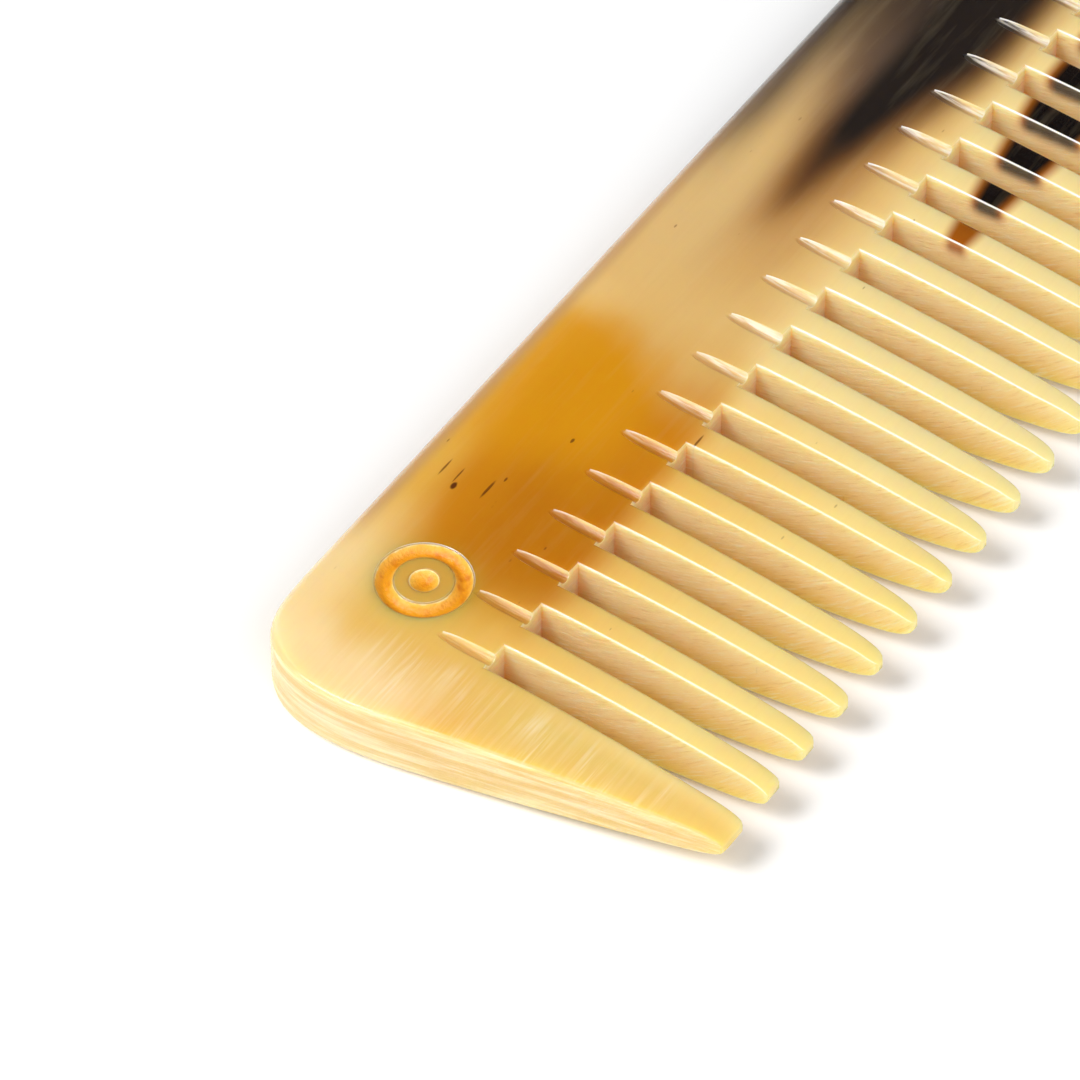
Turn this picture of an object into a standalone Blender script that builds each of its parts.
"""Hair comb sawn and filed from one plate of translucent horn.

The comb lies flat on its lower face.
+X runs along the comb, from the marked end to the plain end.
+Y runs from the tooth tips to the back of the spine.
+Z points up, away from the table.
The origin is at the bottom centre of the comb's box.
Lengths are in metres.

The plate is divided where the saw slots divide it: the spine, one guard at each end, and
the teeth between them. The coloured fill of the carved mark is the only other material.
"""

import math

import bmesh
import bpy
from mathutils import Vector

MM = 0.001

# The plate
THICKNESS = 5.0 * MM
SPINE_DEPTH = 14.1 * MM
RIM_RADIUS = 0.9 * MM
RIM_SEGMENTS = 3
JOINT_GAP = 0.3 * MM

# The row of teeth
SLOT_COUNT = 29
PITCH = 4.0 * MM
SLOT_WIDTH = 1.96 * MM
TOOTH_LENGTH = 18.5 * MM
SIDE_TAPER = 0.02
TOOTH_CORNER = 0.3 * MM

# Both faces of the teeth are ground to the same large arc, which starts on the spine
FACE_ARC_RADIUS = 153.0 * MM
FACE_ARC_START = 4.0 * MM

# The last stretch of a tooth, where it is rounded to a nose
NOSE_LENGTH = 3.4 * MM
NOSE_STEPS = (0.0, 0.45, 0.75, 0.92, 1.0)
SHAFT_STEPS = (0.0, 0.35, 0.7)
NOSE_WIDTH_LEFT = 0.45
NOSE_THICKNESS_LEFT = 0.4

# The guards: the outer edge leans in by GUARD_SLOPE towards the tip
GUARD_ROOT_WIDTH = 6.18 * MM
GUARD_SLOPE = 0.192
GUARD_CORNER = 0.8 * MM
GUARD_TIP_WIDTH_LEFT = 0.8

# The rounded end of the spine, from the slot root at the guard's outer edge to the back
CORNER_START = 2.4 * MM
CORNER_RISE = 7.6 * MM
CORNER_RUN = 8.0 * MM
CORNER_END = 1.8 * MM
CORNER_POINTS = 12

# The shallow run-out that the slotting saw leaves in the upper face behind each slot
RUN_OUT_LENGTH = 3.7 * MM
RUN_OUT_WIDTH = 1.0 * MM
RUN_OUT_DEPTH = 0.6 * MM
RUN_OUT_OFFSET = 0.55 * MM

# The carved mark: a ring and a dot, each with a coloured fill
MARK_FROM_SLOT = 3.65 * MM
MARK_FROM_ROOT = 6.97 * MM
MARK_DEPTH = 0.8 * MM
MARK_SIDES = 24
RING_OUTER = 3.0 * MM
RING_INNER = 1.9 * MM
DOT_RADIUS = 0.95 * MM
FILL_TOP = 0.1 * MM

# Places that follow from the dimensions above
HEIGHT = SPINE_DEPTH + TOOTH_LENGTH
BACK_Y = HEIGHT / 2
ROOT_Y = BACK_Y - SPINE_DEPTH
SLOT_SPAN = (SLOT_COUNT - 1) * PITCH + SLOT_WIDTH
FIRST_SLOT_X = -SLOT_SPAN / 2
TOOTH_WIDTH = PITCH - SLOT_WIDTH
MID_Z = THICKNESS / 2
MARK_CENTRE = Vector((FIRST_SLOT_X + MARK_FROM_SLOT, ROOT_Y + MARK_FROM_ROOT, THICKNESS))

# Finishes
HONEY = (0.79, 0.55, 0.20)
AMBER = (0.56, 0.27, 0.03)
DARK_HORN = (0.05, 0.03, 0.02)
MARK_ORANGE = (0.83, 0.36, 0.03)
HORN_ROUGHNESS = 0.22
MARK_ROUGHNESS = 0.55


def clear_scene():
    """Remove every object that a new file starts with."""
    for old in list(bpy.data.objects):
        bpy.data.objects.remove(old, do_unlink=True)


def finish_with(obj, colour, roughness):
    """Give an object its own Principled material."""
    material = bpy.data.materials.new(obj.name + "_finish")
    material.use_nodes = True
    shader = material.node_tree.nodes["Principled BSDF"]
    shader.inputs["Base Color"].default_value = (*colour, 1.0)
    shader.inputs["Roughness"].default_value = roughness
    shader.inputs["Metallic"].default_value = 0.0
    obj.data.materials.append(material)


def add_object(name, bm):
    """Turn a bmesh into a smooth-shaded object with its creases kept."""
    bmesh.ops.recalc_face_normals(bm, faces=bm.faces)
    mesh = bpy.data.meshes.new(name)
    bm.to_mesh(mesh)
    bm.free()
    mesh.shade_smooth()
    mesh.set_sharp_from_angle(angle=math.radians(35))
    obj = bpy.data.objects.new(name, mesh)
    bpy.context.scene.collection.objects.link(obj)
    return obj


def horn_colour(x):
    """The plate is honey at its ends and runs through amber to nearly black in the middle."""
    nearness = 1.0 - min(1.0, abs(x) / abs(FIRST_SLOT_X))
    shade = [h + (a - h) * min(1.0, 2 * nearness) for h, a in zip(HONEY, AMBER)]
    darkness = max(0.0, 2 * nearness - 1.0)
    return tuple(s + (d - s) * darkness for s, d in zip(shade, DARK_HORN))


def half_thickness(reach):
    """Half the plate's thickness at a distance in front of the slot roots."""
    on_arc = reach + FACE_ARC_START
    return MID_Z - on_arc ** 2 / (2 * FACE_ARC_RADIUS)


def nose(along, left):
    """How much of the width or thickness is left at a fraction of the nose."""
    return 1.0 - (1.0 - left) * along ** 3


def tooth_stations():
    """Distances from the root at which a tooth's section is given, with the nose fraction."""
    shaft = TOOTH_LENGTH - NOSE_LENGTH
    stations = [(JOINT_GAP + (shaft - JOINT_GAP) * step, 0.0) for step in SHAFT_STEPS]
    stations += [(shaft + NOSE_LENGTH * step, step) for step in NOSE_STEPS]
    return stations


def section(bm, left, right, reach, half, corner):
    """A ring of eight vertices: a rectangle with cut corners, square to the tooth."""
    cut = min(corner, 0.45 * (right - left), 0.6 * half)
    y = ROOT_Y - reach
    outline = [
        (left + cut, -half), (right - cut, -half), (right, cut - half), (right, half - cut),
        (right - cut, half), (left + cut, half), (left, half - cut), (left, cut - half),
    ]
    return [bm.verts.new((x, y, MID_Z + z)) for x, z in outline]


def skin_sections(name, rings, bm):
    """Join rings of vertices into one closed body."""
    for near, far in zip(rings, rings[1:]):
        count = len(near)
        for i in range(count):
            j = (i + 1) % count
            bm.faces.new((near[i], near[j], far[j], far[i]))
    bm.faces.new(rings[0])
    bm.faces.new(reversed(rings[-1]))
    return add_object(name, bm)


def build_tooth(number):
    """One tooth, tapered on all four sides and rounded at its tip."""
    centre = FIRST_SLOT_X + SLOT_WIDTH + TOOTH_WIDTH / 2 + (number - 1) * PITCH
    bm = bmesh.new()
    rings = []
    for reach, along in tooth_stations():
        half_width = (TOOTH_WIDTH / 2 - SIDE_TAPER * reach) * nose(along, NOSE_WIDTH_LEFT)
        half = half_thickness(reach) * nose(along, NOSE_THICKNESS_LEFT)
        rings.append(section(bm, centre - half_width, centre + half_width, reach, half, TOOTH_CORNER))
    tooth = skin_sections(f"tooth_{number:02d}", rings, bm)
    finish_with(tooth, horn_colour(centre), HORN_ROUGHNESS)


def build_guard(name, side):
    """The wide end tooth. side is -1 at the marked end and 1 at the plain end."""
    bm = bmesh.new()
    rings = []
    for reach, along in tooth_stations():
        inner = SLOT_SPAN / 2 + SIDE_TAPER * reach
        outer = SLOT_SPAN / 2 + GUARD_ROOT_WIDTH - GUARD_SLOPE * reach
        middle = (inner + outer) / 2
        half_width = (outer - inner) / 2 * nose(along, GUARD_TIP_WIDTH_LEFT)
        half = half_thickness(reach) * nose(along, NOSE_THICKNESS_LEFT)
        edges = sorted((side * (middle - half_width), side * (middle + half_width)))
        rings.append(section(bm, edges[0], edges[1], reach, half, GUARD_CORNER))
    guard = skin_sections(name, rings, bm)
    finish_with(guard, HONEY, HORN_ROUGHNESS)


def bezier(points, t):
    """A point on a cubic curve."""
    a, b, c, d = points
    u = 1.0 - t
    return a * u ** 3 + b * 3 * u ** 2 * t + c * 3 * u * t ** 2 + d * t ** 3


def end_outline():
    """The spine's outline at the plain end, from the root line up and round to the back."""
    edge = SLOT_SPAN / 2
    foot = Vector((edge + GUARD_ROOT_WIDTH, ROOT_Y))
    start = Vector((foot.x + GUARD_SLOPE * CORNER_START, ROOT_Y + CORNER_START))
    rise = start + Vector((GUARD_SLOPE, 1.0)) * CORNER_RISE
    end = Vector((edge - CORNER_END, BACK_Y))
    run = end + Vector((CORNER_RUN, 0.0))
    curve = [bezier((start, rise, run, end), i / CORNER_POINTS) for i in range(CORNER_POINTS + 1)]
    return [foot] + curve


def plain_spine():
    """The plate behind the slots, with its rim rounded and its front edge left square."""
    right = end_outline()
    left = [Vector((-p.x, p.y)) for p in reversed(right)]
    bm = bmesh.new()
    base = bm.faces.new([bm.verts.new((p.x, p.y, 0.0)) for p in right + left])
    extruded = bmesh.ops.extrude_face_region(bm, geom=[base])
    top = [v for v in extruded["geom"] if isinstance(v, bmesh.types.BMVert)]
    bmesh.ops.translate(bm, verts=top, vec=(0.0, 0.0, THICKNESS))
    bmesh.ops.recalc_face_normals(bm, faces=bm.faces)

    def on_rim(edge):
        a, b = edge.verts
        level = abs(a.co.z - b.co.z) < RIM_RADIUS
        in_front = a.co.y + b.co.y < 2 * ROOT_Y + RIM_RADIUS
        return level and not in_front

    rim = [e for e in bm.edges if on_rim(e)]
    bmesh.ops.bevel(bm, geom=rim, offset=RIM_RADIUS, segments=RIM_SEGMENTS, profile=0.5, affect="EDGES")
    return add_object("spine", bm)


def hide_cutter(cutter):
    """A cutter shapes another part and isn't one itself."""
    cutter.hide_render = True
    cutter.display_type = "WIRE"
    return cutter


def run_out_cutter():
    """One slim pyramid behind each slot, its point on the upper face of the spine."""
    overlap = 1.0 * MM
    lift = 0.02 * MM
    growth = (RUN_OUT_LENGTH + overlap) / RUN_OUT_LENGTH
    half_width = RUN_OUT_WIDTH / 2 * growth
    depth = RUN_OUT_DEPTH * growth
    bm = bmesh.new()
    for slot in range(SLOT_COUNT):
        x = FIRST_SLOT_X + slot * PITCH + RUN_OUT_OFFSET
        front = ROOT_Y - overlap
        tip = bm.verts.new((x, ROOT_Y + RUN_OUT_LENGTH, THICKNESS + lift))
        floor = bm.verts.new((x, front, THICKNESS - depth))
        left = bm.verts.new((x - 1.4 * half_width, front, THICKNESS + 0.4 * depth))
        right = bm.verts.new((x + 1.4 * half_width, front, THICKNESS + 0.4 * depth))
        for corners in ((tip, floor, left), (tip, right, floor), (tip, left, right), (floor, right, left)):
            bm.faces.new(corners)
    return hide_cutter(add_object("run_out_cutter", bm))


def turned_disc(bm, outer, inner, low, high):
    """A disc, or a ring when inner isn't zero, about the mark's centre."""
    def circle(radius, z):
        steps = [2 * math.pi * i / MARK_SIDES for i in range(MARK_SIDES)]
        places = [(MARK_CENTRE.x + radius * math.cos(a), MARK_CENTRE.y + radius * math.sin(a), z) for a in steps]
        return [bm.verts.new(place) for place in places]

    walls = [circle(outer, low), circle(outer, high)]
    if inner > 0.0:
        walls += [circle(inner, high), circle(inner, low)]
        pairs = zip(walls, walls[1:] + walls[:1])
    else:
        bm.faces.new(reversed(walls[0]))
        bm.faces.new(walls[1])
        pairs = [(walls[0], walls[1])]
    for first, second in pairs:
        for i in range(MARK_SIDES):
            j = (i + 1) % MARK_SIDES
            bm.faces.new((first[i], first[j], second[j], second[i]))


def mark_cutter():
    """The ring groove and the round hollow of the carved mark."""
    above = THICKNESS + MARK_DEPTH
    bm = bmesh.new()
    turned_disc(bm, RING_OUTER, RING_INNER, THICKNESS - MARK_DEPTH, above)
    turned_disc(bm, DOT_RADIUS, 0.0, THICKNESS - MARK_DEPTH, above)
    return hide_cutter(add_object("mark_cutter", bm))


def build_spine():
    """The spine with the saw's run-outs and the mark cut into its upper face."""
    spine = plain_spine()
    for cutter in (run_out_cutter(), mark_cutter()):
        cut = spine.modifiers.new(cutter.name, "BOOLEAN")
        cut.operation = "DIFFERENCE"
        cut.solver = "EXACT"
        cut.object = cutter
    finish_with(spine, AMBER, HORN_ROUGHNESS)


def build_fill(name, outer, inner):
    """The coloured fill of one hollow of the mark, clear of the horn by the joint gap."""
    bm = bmesh.new()
    turned_disc(bm, outer, inner, THICKNESS - MARK_DEPTH + JOINT_GAP, THICKNESS - FILL_TOP)
    fill = add_object(name, bm)
    finish_with(fill, MARK_ORANGE, MARK_ROUGHNESS)


def main():
    clear_scene()
    build_spine()
    build_guard("guard_marked_end", -1)
    build_guard("guard_plain_end", 1)
    for number in range(1, SLOT_COUNT):
        build_tooth(number)
    build_fill("mark_ring_fill", RING_OUTER - JOINT_GAP, RING_INNER + JOINT_GAP)
    build_fill("mark_dot_fill", DOT_RADIUS - JOINT_GAP, 0.0)


main()
